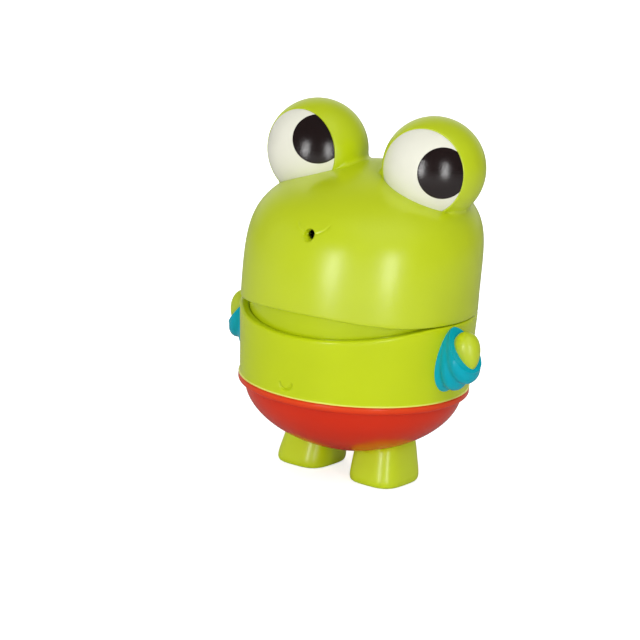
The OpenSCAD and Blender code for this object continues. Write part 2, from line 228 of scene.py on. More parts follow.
# Arms and armbands. A roll is ROLL_IN_LEN long at the body, ROLL_OUT_LEN outside.
FIST_R = 2.85
FIST_LEN = 8.6
FIST_OUT = 3.9
FIST_DROP = 0.5
FIST_LEAN = 17
EGG_SHARE = 0.2
EGG_STEPS = 40
ARM_R = 1.5
ARM_ROOT = 0.6
ARM_FRONT = 1.7
ARM_TURN = 6
RIGHT_ARM_DROP = 2.2
BAND_TOP_Z = SPLIT_Z - 0.2
ROLL_IN_LEN = 15.2
ROLL_OUT_LEN = 12.6
ROLL_W = 9.9
ROLL_GROOVE = 0.45
ROLL_LEAN = 41
ROLL_TUCK = 6
ROLL_COUNT = 3
ROLL_STEPS = 84
ROLL_BUNCH = 0.78
ROLL_MIDDLE = 0.505
ROLL_PINCH = 0.01
ROLL_TOP_SHARE = 0.72
ROLL_LOW_SHARE = 0.34
ROLL_INSET = RIM_R - WAIST_R

# Tones, 0 to 255, each with the second one that it drifts to
LIME = ((184, 201, 12), (180, 197, 7))
# A lighter copy of LIME for the feet: painted light that makes up for the shade under the bowl
PAINTED_LIGHTER_LIME = ((196, 219, 14), (192, 215, 9))
ORANGE_RED = ((204, 45, 15), (200, 41, 12))
TEAL_BLUE = ((0, 161, 179), (0, 155, 173))
PALE_CREAM = ((226, 225, 210), (223, 222, 206))
DARK_BROWN = ((26, 13, 12), (22, 10, 10))
MILKY = ((232, 232, 228), (226, 226, 222))
ROLLED_BRASS = ((214, 178, 92), (203, 166, 80))
# Painted light: the torso's pale line above the waistband is a painted highlight, and the waistband's lit
# edge is a painted highlight with light bounced from the green torso
PAINTED_HIGHLIGHT_LINE = (236, 230, 120)
BAND_GLINT = (211, 62, 15)

# Roughness range and height of the grain where a finish names no other
SATIN = (0.23, 0.268)
SATIN_BUMP = 0.02

# The noise values between which one tone gives way to the other
MOTTLE_RANGE = (0.25, 0.75)
# Noise scales per metre: patches of tone, then the skin's grain and its slow swell
PATCH_SCALE = 60.0
GRAIN_SCALE = 2200.0
PAINT_GRAIN_SCALE = 3200.0
SWELL_SCALE = 120.0
SWELL_SHARE = 0.05

# How bright the room is to matte surfaces, then in reflections of its near and far side
WORLD_LIGHT = 0.41
ROOM_SHADE = 0.08
ROOM_BACK = 0.8
# Cosines of the angles from the far side's middle where it turns bright, and is full
BACK_EDGE = (0.6, 1.0)
# The floor's tone, the tone that reflections show, and its added glow to the camera
FLOOR_ALBEDO = 0.8
FLOOR_MIRROR = 0.36
FLOOR_GLOW = 0.7
FLOOR_HALF = 6

# Softboxes beside the camera: azimuth in degrees and power in watts. The height of
# their middle, their distance and their size are in metres.
STRIPS = {"front_strip": (6.5, 0.58), "side_strip": (59.4, 0.54)}
STRIP_Z = 0.127
STRIP_REACH = 0.5
STRIP_SIZE = (0.074, 0.25)

# Lamps that no reflection shows: azimuth and lift, distance and size in metres, power
FILLS = {
    "top_box": (60, 62, 0.95, (0.8, 0.8), 3.4),
    "left_fill": (-62, 19, 0.47, (0.28, 0.28), 0.4),
    "back_fill": (222, 30, 0.8, (0.5, 0.5), 1.7),
    "low_fill": (32, 8, 0.32, (0.25, 0.08), 0.12),
}
FILL_AIM = Vector((0, 0, 0.03))

# The photograph's view, in degrees, millimetres and pixels, with clipping in metres
CAMERA_TURN = 34.771
CAMERA_LIFT = 12.955
CAMERA_ROLL = 4.04
CAMERA_REACH = 558.9
AIM_Z = 43.7
FOCAL_PX = 2510.4
IMAGE_PX = 640
AIM_PX = (360.61, 282.0)
SENSOR = 36
CLIP = (0.01, 20)


def arc(centre, radius, start, stop, steps):
    """Points of an arc as (radius, height); its angles are measured from straight up."""
    turns = [math.radians(start + (stop - start) * i / steps) for i in range(steps + 1)]
    return [(centre[0] + radius * math.sin(t), centre[1] + radius * math.cos(t)) for t in turns]


def bowl_line(radius, depth, start_r, steps):
    """Points of a bowl's side from start_r near its bottom up to its brim."""
    first = math.acos((start_r / radius) ** (1 / BOWL_SHARE))
    turns = [first * (1 - i / steps) for i in range(steps + 1)]
    return [
        (radius * math.cos(t) ** BOWL_SHARE, BOWL_Z - depth * math.sin(t) ** BOWL_SHARE) for t in turns
    ]


def line(start, stop, steps):
    """Points from start to stop, without the last."""
    return [tuple(a + (b - a) * i / steps for a, b in zip(start, stop)) for i in range(steps)]


def spun(outline, steps, closed=False):
    """A solid of revolution about Z from an outline of (radius, height) points."""
    shape = bmesh.new()
    points = [shape.verts.new((radius, 0, height)) for radius, height in outline]
    pairs = list(zip(points, points[1:]))
    if closed:
        pairs.append((points[-1], points[0]))
    edges = [shape.edges.new(pair) for pair in pairs]
    bmesh.ops.spin(
        shape, geom=points + edges, cent=(0, 0, 0), axis=UP, angle=2 * math.pi, steps=steps, use_merge=True
    )
    bmesh.ops.remove_doubles(shape, verts=shape.verts, dist=WELD)
    bmesh.ops.recalc_face_normals(shape, faces=shape.faces)
    return shape


def places(shape):
    """Every vertex's place as an array of doubles."""
    return np.array([v.co for v in shape.verts], float)


def put(shape, points):
    """Moves every vertex to its row of points."""
    for vert, point in zip(shape.verts, points):
        vert.co = point


def moved(shape, offset=(0, 0, 0), direction=UP):
    """Turns a shape so that its +Z follows direction, then shifts it."""
    turn = Vector(direction).to_track_quat("Z", "Y").to_matrix().to_4x4()
    bmesh.ops.transform(shape, matrix=Matrix.Translation(offset) @ turn, verts=shape.verts)
    return shape


def new_mesh(name, shape):
    """A mesh with a shape's form. The shape itself is freed."""
    mesh = bpy.data.meshes.new(name)
    shape.to_mesh(mesh)
    shape.free()
    return mesh


def new_object(name, data):
    """An object of the scene that holds a mesh, a lamp or a camera."""
    thing = bpy.data.objects.new(name, data)
    bpy.context.scene.collection.objects.link(thing)
    return thing


def stand_in(shape):
    """A temporary object that holds a shape."""
    return new_object("stand_in", new_mesh("stand_in", shape))


def after_modifier(shape, kind, others=(), **settings):
    """The shape as one modifier leaves it. The objects in others go with the stand-in."""
    holder = stand_in(shape)
    modifier = holder.modifiers.new(kind.lower(), kind)
    for name, value in settings.items():
        setattr(modifier, name, value)
    evaluated = holder.evaluated_get(bpy.context.evaluated_depsgraph_get())
    result = bmesh.new()
    result.from_mesh(evaluated.to_mesh())
    for thing in (holder, *others):
        mesh = thing.data
        bpy.data.objects.remove(thing)
        bpy.data.meshes.remove(mesh)
    return result


def combined(shape, tool, operation):
    """Joins tool to shape, or cuts it away."""
    other = stand_in(tool)
    return after_modifier(shape, "BOOLEAN", (other,), object=other, operation=operation, solver="EXACT")


def refine(shape, near, cuts):
    """Cuts the edges between vertices whose places near() says True for."""
    mask = near(places(shape))
    shape.verts.index_update()
    edges = [e for e in shape.edges if mask[e.verts[0].index] and mask[e.verts[1].index]]
    bmesh.ops.subdivide_edges(shape, edges=edges, cuts=cuts, use_grid_fill=True)
    cut_many_sided(shape)


def cut_many_sided(shape):
    """Cuts every face with more than four sides into triangles."""
    bmesh.ops.triangulate(shape, faces=[f for f in shape.faces if len(f.verts) > 4])


def finish_piece(shape, name, body, nodes, material, sharp=35):
    """Brings a shape to metres and makes it a piece that stands for its nodes.

    The head's shapes face straight ahead until they turn here with the head. Edges
    sharper than the angle sharp, in degrees, stay crisp.
    """
    if body == "head":
        bmesh.ops.rotate(
            shape, cent=(0, 0, 0), matrix=Matrix.Rotation(math.radians(HEAD_TURN), 3, "Z"), verts=shape.verts
        )
    bmesh.ops.scale(shape, vec=(MM, MM, MM), verts=shape.verts)
    mesh = new_mesh(name, shape)
    mesh.shade_smooth()
    mesh.set_sharp_from_angle(angle=math.radians(sharp))
    mesh.materials.append(material)
    piece = new_object(name, mesh)
    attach(piece, body)
    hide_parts(*nodes)


def smooth_step(values, start, stop):
    """0 before start, 1 after stop, and an even curve between."""
    share = np.clip((values - start) / (stop - start), 0, 1)
    return share * share * (3 - 2 * share)


def slope(field, points):
    """Gradient of a field at each point."""
    step = 1e-3
    return np.stack(
        [(field(points + step * axis) - field(points - step * axis)) / (2 * step) for axis in np.eye(3)],
        axis=1,
    )


def settled(field, points, rounds):
    """Points brought onto the surface where a field is 0."""
    for _ in range(rounds):
        pull = slope(field, points)
        points = points - (field(points) / np.sum(pull**2, axis=1))[:, None] * pull
    return points


def in_patch(points, half_width, middle_z, half_height, front_y):
    """True for each point of a patch on the front."""
    level = np.abs(points[:, 2] - middle_z) < half_height
    return (np.abs(points[:, 0]) < half_width) & level & (points[:, 1] < front_y)


def toward(turn, lift):
    """Direction turned toward +X from straight ahead, -Y, and lifted."""
    turn, lift = math.radians(turn), math.radians(lift)
    return Vector((math.sin(turn) * math.cos(lift), -math.cos(turn) * math.cos(lift), math.sin(lift)))


# Colours and finishes

def linear(red, green, blue):
    """A display colour, 0 to 255, as the linear colour that a shader takes."""
    def one(value):
        value /= 255
        return value / 12.92 if value <= 0.04045 else ((value + 0.055) / 1.055) ** 2.4
    return (one(red), one(green), one(blue), 1)


def new_group(name, inputs, outputs):
    """A shader node group with named sockets, and its two end nodes."""
    group = bpy.data.node_groups.new(name, "ShaderNodeTree")
    for label, kind, value in inputs:
        socket = group.interface.new_socket(label, in_out="INPUT", socket_type=kind)
        if value is not None:
            socket.default_value = value
    for label, kind in outputs:
        group.interface.new_socket(label, in_out="OUTPUT", socket_type=kind)
    return group, group.nodes.new("NodeGroupInput"), group.nodes.new("NodeGroupOutput")


def new_node(nodes, kind, **values):
    """A shader node, with the inputs named in values set; an underscore is a space."""
    node = nodes.new("ShaderNode" + kind)
    for label, value in values.items():
        node.inputs[label.replace("_", " ")].default_value = value
    return node


def mottle_group():
    """Slow drift between two tones, as in pigmented vinyl."""
    group, given, out = new_group(
        "vinyl_mottle",
        [
            ("Tone", "NodeSocketColor", None), ("Second tone", "NodeSocketColor", None),
            ("Patch", "NodeSocketFloat", PATCH_SCALE),
        ],
        [("Colour", "NodeSocketColor"), ("Mask", "NodeSocketFloat")],
    )
    nodes, links = group.nodes, group.links
    coords = new_node(nodes, "TexCoord")
    noise = new_node(nodes, "TexNoise", Detail=1)
    links.new(coords.outputs["Object"], noise.inputs["Vector"])
    links.new(given.outputs["Patch"], noise.inputs["Scale"])
    spread = new_node(nodes, "MapRange", From_Min=MOTTLE_RANGE[0], From_Max=MOTTLE_RANGE[1])
    spread.interpolation_type = "SMOOTHSTEP"
    links.new(noise.outputs["Fac"], spread.inputs["Value"])
    mix = new_node(nodes, "Mix")
    mix.data_type = "RGBA"
    links.new(spread.outputs["Result"], mix.inputs["Factor"])
    links.new(given.outputs["Tone"], mix.inputs["A"])
    links.new(given.outputs["Second tone"], mix.inputs["B"])
    links.new(mix.outputs["Result"], out.inputs["Colour"])
    links.new(spread.outputs["Result"], out.inputs["Mask"])
    return group


def skin_group():
    """Height of a moulded skin: a fine grain over a slow swell."""
    group, given, out = new_group(
        "moulded_skin",
        [
            ("Grain", "NodeSocketFloat", GRAIN_SCALE), ("Swell", "NodeSocketFloat", SWELL_SCALE),
            ("Swell share", "NodeSocketFloat", SWELL_SHARE),
        ],
        [("Height", "NodeSocketFloat")],
    )
    nodes, links = group.nodes, group.links
    coords = new_node(nodes, "TexCoord")
    grain = new_node(nodes, "TexNoise")
    swell = new_node(nodes, "TexNoise", Detail=1)
    for noise, label in ((grain, "Grain"), (swell, "Swell")):
        links.new(coords.outputs["Object"], noise.inputs["Vector"])
        links.new(given.outputs[label], noise.inputs["Scale"])
    mix = new_node(nodes, "Mix")
    links.new(given.outputs["Swell share"], mix.inputs["Factor"])
    links.new(grain.outputs["Fac"], mix.inputs["A"])
    links.new(swell.outputs["Fac"], mix.inputs["B"])
    links.new(mix.outputs["Result"], out.inputs["Height"])
    return group


def lit_line_group():
    """A level line of another tone that paints light onto a surface, such as a painted highlight where two
    skins meet.
    """
    group, given, out = new_group(
        "painted_lit_line",
        [
            ("Colour", "NodeSocketColor", None), ("Lit tone", "NodeSocketColor", None),
            ("Level", "NodeSocketFloat", None), ("Spread", "NodeSocketFloat", None),
        ],
        [("Colour", "NodeSocketColor")],
    )
    nodes, links = group.nodes, group.links
    coords = new_node(nodes, "TexCoord")
    parts = new_node(nodes, "SeparateXYZ")
    links.new(coords.outputs["Object"], parts.inputs["Vector"])
    off = new_node(nodes, "Math")
    off.operation = "SUBTRACT"
    links.new(parts.outputs["Z"], off.inputs[0])
    links.new(given.outputs["Level"], off.inputs[1])
    away = new_node(nodes, "Math")
    away.operation = "ABSOLUTE"
    links.new(off.outputs["Value"], away.inputs[0])
    fade = new_node(nodes, "MapRange", To_Min=1, To_Max=0)
    fade.interpolation_type = "SMOOTHSTEP"
    links.new(away.outputs["Value"], fade.inputs["Value"])
    links.new(given.outputs["Spread"], fade.inputs["From Max"])
    mix = new_node(nodes, "Mix")
    mix.data_type = "RGBA"
    links.new(fade.outputs["Result"], mix.inputs["Factor"])
    links.new(given.outputs["Colour"], mix.inputs["A"])
    links.new(given.outputs["Lit tone"], mix.inputs["B"])
    links.new(mix.outputs["Result"], out.inputs["Colour"])
    return group


MOTTLE = mottle_group()
SKIN = skin_group()
LIT_LINE_GROUP = lit_line_group()


def moulded(name, tone, second, rough=SATIN, bump=SATIN_BUMP, grain=GRAIN_SCALE, **fixed):
    """A moulded or painted surface: drifting tone, uneven gloss and a fine skin."""
    material = bpy.data.materials.new(name)
    material.use_nodes = True
    nodes, links = material.node_tree.nodes, material.node_tree.links
    shader = nodes["Principled BSDF"]
    for label, value in fixed.items():
        shader.inputs[label.replace("_", " ")].default_value = value
    mottle = nodes.new("ShaderNodeGroup")
    mottle.node_tree = MOTTLE
    mottle.inputs["Tone"].default_value = linear(*tone)
    mottle.inputs["Second tone"].default_value = linear(*second)
    links.new(mottle.outputs["Colour"], shader.inputs["Base Color"])
    gloss = new_node(nodes, "MapRange", To_Min=rough[0], To_Max=rough[1])
    links.new(mottle.outputs["Mask"], gloss.inputs["Value"])
    links.new(gloss.outputs["Result"], shader.inputs["Roughness"])
    skin = nodes.new("ShaderNodeGroup")
    skin.node_tree = SKIN
    skin.inputs["Grain"].default_value = grain
    height = new_node(nodes, "Bump", Strength=bump, Distance=MM)
    links.new(skin.outputs["Height"], height.inputs["Height"])
    links.new(height.outputs["Normal"], shader.inputs["Normal"])
    return material


def add_painted_lit_line(material, tone, level, spread):
    """Gives a material a painted line of light: another tone along one height."""
    nodes, links = material.node_tree.nodes, material.node_tree.links
    shader = nodes["Principled BSDF"]
    edge = nodes.new("ShaderNodeGroup")
    edge.node_tree = LIT_LINE_GROUP
    edge.inputs["Lit tone"].default_value = linear(*tone)
    edge.inputs["Level"].default_value = level * MM
    edge.inputs["Spread"].default_value = spread * MM
    links.new(shader.inputs["Base Color"].links[0].from_socket, edge.inputs["Colour"])
    links.new(edge.outputs["Colour"], shader.inputs["Base Color"])


GREEN = moulded("green_vinyl", *LIME, rough=(0.285, 0.32), Specular_IOR_Level=0.82)
TORSO_GREEN = moulded("torso_vinyl", *LIME, Specular_IOR_Level=0.36)
# The pale line above the waistband is a painted highlight
add_painted_lit_line(TORSO_GREEN, PAINTED_HIGHLIGHT_LINE, level=WAIST_Z, spread=0.42)
COLLAR_GREEN = moulded("collar_vinyl", *LIME, Specular_IOR_Level=0.4)
FIST_GREEN = moulded("fist_vinyl", *LIME, rough=(0.36, 0.4), Specular_IOR_Level=0.9)
# The feet take a lighter copy of the green, painted light for the shade under the bowl
FOOT_GREEN_PAINTED_LIGHTER = moulded("foot_vinyl_painted_lighter", *PAINTED_LIGHTER_LIME, rough=(0.29, 0.33), Specular_IOR_Level=0.8)
RED = moulded("red_vinyl", *ORANGE_RED, Specular_IOR_Level=0.3)
# The waistband's lit top edge is painted light: a highlight and the green torso's bounce
add_painted_lit_line(RED, BAND_GLINT, level=WAIST_Z - 0.5, spread=1.3)
TEAL = moulded("teal_vinyl", *TEAL_BLUE, rough=(0.16, 0.2), Specular_IOR_Level=0.25)
CREAM = moulded("cream_paint", *PALE_CREAM, rough=(0.24, 0.268))
BROWN = moulded(
    "brown_paint", *DARK_BROWN, rough=(0.19, 0.22), bump=0.06, grain=PAINT_GRAIN_SCALE,
    Specular_IOR_Level=0.85,
)
PLASTIC = moulded("squeaker_plastic", *MILKY, rough=(0.35, 0.45))
BRASS = moulded("reed_brass", *ROLLED_BRASS, rough=(0.2, 0.32), Metallic=1.0)


# Head

def dome_radius(u):
    """Radius of the dome at a share u of its rise, with its crown rounded off."""
    full = HEAD_R * (1 - np.clip(u, 0, 1) ** FLAT_SHARE) ** ROUND_SHARE
    return np.sqrt(np.clip(full**2 - CROWN_ROUND**2, 0, None) / (1 - (CROWN_ROUND / HEAD_R) ** 2))


def slide(u):
    """How far back the dome's circle at share u lies."""
    return CROWN_BACK * np.clip(u, 0, 1) ** SLIDE_SHARE


def dome_line(scale, rise, start, spacing):
    """Evenly spaced (radius, height) points up the dome, from height start to the axis."""
    top = (1 - (CROWN_ROUND / HEAD_R) ** (1 / ROUND_SHARE)) ** (1 / FLAT_SHARE)
    fine = top * np.sin(np.linspace(math.asin((start - LIP_Z) / rise / top), math.pi / 2, DOME_SAMPLES))
    radii, heights = dome_radius(fine) * scale, LIP_Z + rise * fine
    radii[-1] = 0
    run = np.concatenate([[0], np.cumsum(np.hypot(np.diff(radii), np.diff(heights)))])
    even = np.linspace(0, run[-1], round(run[-1] / spacing) + 1)
    return list(zip(np.interp(even, run, radii), np.interp(even, run, heights)))


def lip_lift(points):
    """How far the upper lip's arch lifts each point near the split."""
    angle = np.degrees(np.arctan2(points[:, 0], -points[:, 1]))
    share = np.clip(np.abs(angle) / LIP_ANGLE, 0, 1)
    fade = np.clip(1 - (points[:, 2] - LIP_Z) / LIP_BAND, 0, 1)
    return LIP_RISE * np.cos(share * math.pi / 2) ** 2 * fade**2


def dome_solid():
    """The head's outside as one closed dome, before the eyes join it."""
    outline = [(0, LIP_Z)] + line((UNDERSIDE_R, LIP_Z), (HEAD_R - LIP_ROUND, LIP_Z), 6)
    outline += arc((HEAD_R - LIP_ROUND, LIP_Z + LIP_ROUND), LIP_ROUND, 180, 90, 4)
    outline += dome_line(1, HEAD_RISE, LIP_Z + LIP_ROUND + DOME_SPACING, DOME_SPACING)
    shape = spun(outline, FINE_TURN)
    points = places(shape)
    points[:, 2] += lip_lift(points)
    points[:, 1] += slide((points[:, 2] - LIP_Z) / HEAD_RISE)
    put(shape, points)
    return shape


def dome_distance(points):
    """About how far each point lies outside the dome."""
    def level(p):
        u = np.clip((p[:, 2] - LIP_Z) / HEAD_RISE, 0, None)
        ring = p[:, 0] ** 2 + (p[:, 1] - CROWN_BACK * u**SLIDE_SHARE) ** 2
        ring = ring + CROWN_ROUND**2 * (1 - ring / HEAD_R**2)
        return (ring / HEAD_R**2) ** (0.5 / ROUND_SHARE) + u**FLAT_SHARE - 1
    return level(points) / np.linalg.norm(slope(level, points), axis=1)


def eye_centre(side):
    """The middle of an eyeball."""
    return Vector((side * EYE_X, EYE_Y, EYE_Z))


def eye_axis(side):
    """Direction in which an eye's white faces."""
    return toward(side * WHITE_TURN, 0)


def from_eye(points, side):
    """Each point's distance from an eye's centre, and its angle from the eye's axis."""
    arm = points - np.array(eye_centre(side))
    reach = np.linalg.norm(arm, axis=1)
    cosine = arm @ np.array(eye_axis(side)) / np.maximum(reach, TINY)
    return reach, np.degrees(np.arccos(np.clip(cosine, -1, 1)))


def lid_plane():
    """Distance from an eye's centre to the plane of its eyelid's edge."""
    return EYE_R * math.cos(math.radians(WHITE_ANGLE))


def eyeball(side):
    """An eyeball with the step at the eyelid's edge and the recess for the white."""
    plane = lid_plane()
    recess = math.degrees(math.acos(plane / WHITE_UNDER_R))
    brow_z = plane - LID_ROUND
    brow_r = math.sqrt((EYE_R - LID_ROUND) ** 2 - brow_z**2)
    tilt = math.degrees(math.atan2(brow_r, brow_z))
    outline = arc((0, 0), WHITE_UNDER_R, 0, recess, 20)
    outline += arc((brow_r, brow_z), LID_ROUND, 0, tilt, 3)
    outline += arc((0, 0), EYE_R, tilt, 180, 44)[1:]
    outline[0] = (0, WHITE_UNDER_R)
    outline[-1] = (0, -EYE_R)
    return moved(spun(outline, SMOOTH_TURN), eye_centre(side), eye_axis(side))


def head_distance(points):
    """Distance outside the dome and eyeballs, with a fillet behind the eyelids."""
    dome = dome_distance(points)
    result = np.full(len(points), FAR)
    for side in (-1, 1):
        reach, angle = from_eye(points, side)
        eye = reach - EYE_R
        width = FILLET_LEAST + FILLET * smooth_step(angle, *FILLET_FADE)
        share = np.clip(0.5 + 0.5 * (dome - eye) / width, 0, 1)
        blended = dome + (eye - dome) * share - width * share * (1 - share)
        result = np.where(points[:, 0] * side > 0, blended, result)
    return result


def near_eye_seam(points, reach):
    """True where a vertex lies close to both the dome and an eyelid."""
    near = np.zeros(len(points), bool)
    dome = np.abs(dome_distance(points))
    for side in (-1, 1):
        distance, angle = from_eye(points, side)
        near |= (dome < reach) & (np.abs(distance - EYE_R) < reach) & (angle > SEAM_ANGLE)
    return near


def soften_seams(shape):
    """Blends the eyelids into the dome: cuts the faces there and settles them on the fillet."""
    cut_many_sided(shape)
    bmesh.ops.remove_doubles(shape, verts=shape.verts, dist=SEAM_SLIVER)
    refine(shape, lambda points: near_eye_seam(points, SEAM_CUT_REACH), cuts=2)
    near = near_eye_seam(places(shape), SEAM_SOFT_REACH)
    picked = [v for v, chosen in zip(shape.verts, near) if chosen]
    for _ in range(SEAM_ROUNDS):
        bmesh.ops.smooth_vert(
            shape, verts=picked, factor=0.5, use_axis_x=True, use_axis_y=True, use_axis_z=True
        )
        points = settled(head_distance, np.array([v.co for v in picked], float), rounds=3)
        for vert, point in zip(picked, points):
            vert.co = point


def smile_crease(points):
    """Depth share of the two creases that rise from the squirt hole like a smile."""
    across = np.abs(points[:, 0]) - CREASE_CENTRE[0]
    upward = points[:, 2] - NOSE_Z - CREASE_CENTRE[1]
    run = np.degrees(np.arctan2(upward, across))
    off = np.hypot(across, upward) - CREASE_R
    ends = smooth_step(run, *CREASE_INNER_FADE) * (1 - smooth_step(run, *CREASE_OUTER_FADE))
    return np.exp(-((off / CREASE_W) ** 2)) * ends


def carve_nose(shape):
    """The squirt hole's dimple and the creases beside it."""
    refine(shape, lambda points: in_patch(points, *NOSE_PATCH), cuts=4)
    points = places(shape)
    inside = in_patch(points, *NOSE_PATCH)
    near = settled(dome_distance, points[inside], rounds=4)
    from_hole = np.hypot(near[:, 0], near[:, 2] - NOSE_Z)
    dimple = POCKET_DEEP * (1 - smooth_step(from_hole, POCKET_FLAT_R, POCKET_R))
    deep = np.where(near[:, 0] < 0, RIGHT_CREASE_DEEP, LEFT_CREASE_DEEP)
    near[:, 1] += dimple + deep * smile_crease(near)
    points[inside] = near
    put(shape, points)


def head_hollow():
    """Everything inside the head: the bore, its ledge, the dome's hollow and the eyes'."""
    share = (HEAD_R - WALL) / HEAD_R
    start = RING_TOP + LEDGE_T
    outline = [(0, LIP_Z - BORE_CLEAR), (BORE_R, LIP_Z - BORE_CLEAR)]
    outline += line((BORE_R, LIP_Z), (BORE_R, RING_TOP), 6)
    outline += [(BORE_R, RING_TOP), (LEDGE_R, RING_TOP), (LEDGE_R, start)]
    outline += dome_line(share, HEAD_RISE - WALL, start + HOLLOW_START, HOLLOW_SPACING)
    shape = spun(outline, SMOOTH_TURN)
    points = places(shape)
    ramp = smooth_step(points[:, 2], start, start + HOLLOW_RAMP)
    points[:, 1] += ramp * slide((points[:, 2] - LIP_Z) / (HEAD_RISE - WALL))
    put(shape, points)
    for side in (-1, 1):
        ball = arc((0, 0), EYE_HOLLOW_R, 0, 180, 32)
        ball[0], ball[-1] = (0, EYE_HOLLOW_R), (0, -EYE_HOLLOW_R)
        shape = combined(shape, moved(spun(ball, PLAIN_TURN), eye_centre(side)), "UNION")
    boss = spun([(0, BOSS_START), (BOSS_R, BOSS_START), (BOSS_R, BOSS_LEN), (0, BOSS_LEN)], BOSS_TURN)
    return combined(shape, moved(boss, nose_place(), (0, 1, 0)), "DIFFERENCE")


def nose_place():
    """The point of the dome's front where the squirt hole lies."""
    u = (NOSE_Z - LIP_Z) / HEAD_RISE
    return Vector((0, float(slide(u) - dome_radius(np.array(u))), NOSE_Z))


def make_head():
    """The dome with its eyelids and nose, hollowed, and the squirt hole through it."""
    shape = dome_solid()
    for side in (-1, 1):
        shape = combined(shape, eyeball(side), "UNION")
    soften_seams(shape)
    carve_nose(shape)
    shape = combined(shape, head_hollow(), "DIFFERENCE")
    outline = [(0, HOLE_ENDS[0]), (HOLE_R, HOLE_ENDS[0]), (HOLE_R, HOLE_FLARE[0])]
    outline += [(HOLE_WIDE_R, HOLE_FLARE[1]), (HOLE_WIDE_R, HOLE_ENDS[1]), (0, HOLE_ENDS[1])]
    hole = moved(spun(outline, HOLE_TURN), nose_place(), (0, 1, 0))
    shape = combined(shape, hole, "DIFFERENCE")
    finish_piece(shape, "head_skin", "head", ["head_shell"], GREEN)


def cap(outer, under, plane):
    """A thin lens of paint: the part of a spherical shell in front of a plane."""
    rim_z = plane + PAINT_ROUND
    rim_r = math.sqrt((outer - PAINT_ROUND) ** 2 - rim_z**2)
    tilt = math.degrees(math.atan2(rim_r, rim_z))
    edge = math.degrees(math.acos(plane / under))
    outline = arc((0, 0), outer, 0, tilt, 28) + arc((rim_r, rim_z), PAINT_ROUND, tilt, 180, 4)[1:]
    outline += arc((0, 0), under, edge, 0, 28)
    outline[0], outline[-1] = (0, outer), (0, under)
    return spun(outline, SMOOTH_TURN)


def make_eye(side, word, glance):
    """The painted white and pupil of one eye."""
    centre, ahead = eye_centre(side), eye_axis(side)
    white = moved(cap(WHITE_R, WHITE_UNDER_R + SKIN_GAP, lid_plane() + WHITE_LIFT), centre, ahead)
    white = combined(white, shrunk_dome(), "DIFFERENCE")
    finish_piece(white, f"{word}_white_skin", "head", [f"{word}_eye_white"], CREAM)
    depth = EYE_R * math.cos(math.radians(PUPIL_ANGLE))
    pupil = moved(cap(PUPIL_R, PUPIL_UNDER_R, depth), centre, toward(*glance))
    cut = bmesh.ops.bisect_plane(
        pupil, geom=pupil.verts[:] + pupil.edges[:] + pupil.faces[:], dist=CUT_SNAP,
        plane_co=centre + ahead * (lid_plane() + PUPIL_CUT), plane_no=ahead, clear_inner=True,
    )
    rims = [e for e in cut["geom_cut"] if isinstance(e, bmesh.types.BMEdge)]
    bmesh.ops.holes_fill(pupil, edges=rims)
    pupil = combined(pupil, shrunk_dome(), "DIFFERENCE")
    finish_piece(pupil, f"{word}_pupil_skin", "head", [f"{word}_pupil"], BROWN)


def shrunk_dome():
    """The dome drawn in a little, which cuts the paint where it runs into the head."""
    shape = dome_solid()
    points = places(shape)
    pull = slope(dome_distance, points)
    pull /= np.linalg.norm(pull, axis=1)[:, None]
    put(shape, points - PAINT_INSET * pull)
    return shape


# Torso, trunks and collar

def soft_arch(points):
    """The mouth's arch: 1 at the front, 0 past the corners, with soft corners."""
    angle = np.degrees(np.arctan2(points[:, 0], -points[:, 1]))
    wave = np.cos(np.clip(np.abs(angle) * 90 / SMILE_ANGLE, 0, 180) * math.pi / 180)
    return (wave + np.sqrt(wave**2 + SMILE_SOFT)) / 2 * (1 - smooth_step(np.abs(angle), *SMILE_FADE))


def wall_radius(heights):
    """Radius of the torso's outside, which widens evenly from the waist to the rim."""
    return WAIST_R + (RIM_R - WAIST_R) * (heights - WAIST_Z) / (SPLIT_Z - WAIST_Z)


def press_navel(shape):
    """The belly button: a soft groove along the lower half of a circle."""
    refine(shape, lambda points: in_patch(points, *NAVEL_PATCH), cuts=5)
    points = places(shape)
    inside = in_patch(points, *NAVEL_PATCH)
    near = points[inside]
    radius = np.hypot(near[:, 0], near[:, 1])
    across, upward = near[:, 0], near[:, 2] - NAVEL_Z
    run = np.degrees(np.arctan2(upward, across))
    off = np.hypot(across, upward) - NAVEL_R
    ends = smooth_step(-run, *NAVEL_FADE) * smooth_step(180 + run, *NAVEL_FADE)
    groove = NAVEL_DEEP * np.exp(-((off / NAVEL_W) ** 2)) * np.where(upward < NAVEL_TOP, ends, 0)
    share = (wall_radius(near[:, 2]) - groove) / radius
    near[:, :2] *= share[:, None]
    points[inside] = near
    put(shape, points)


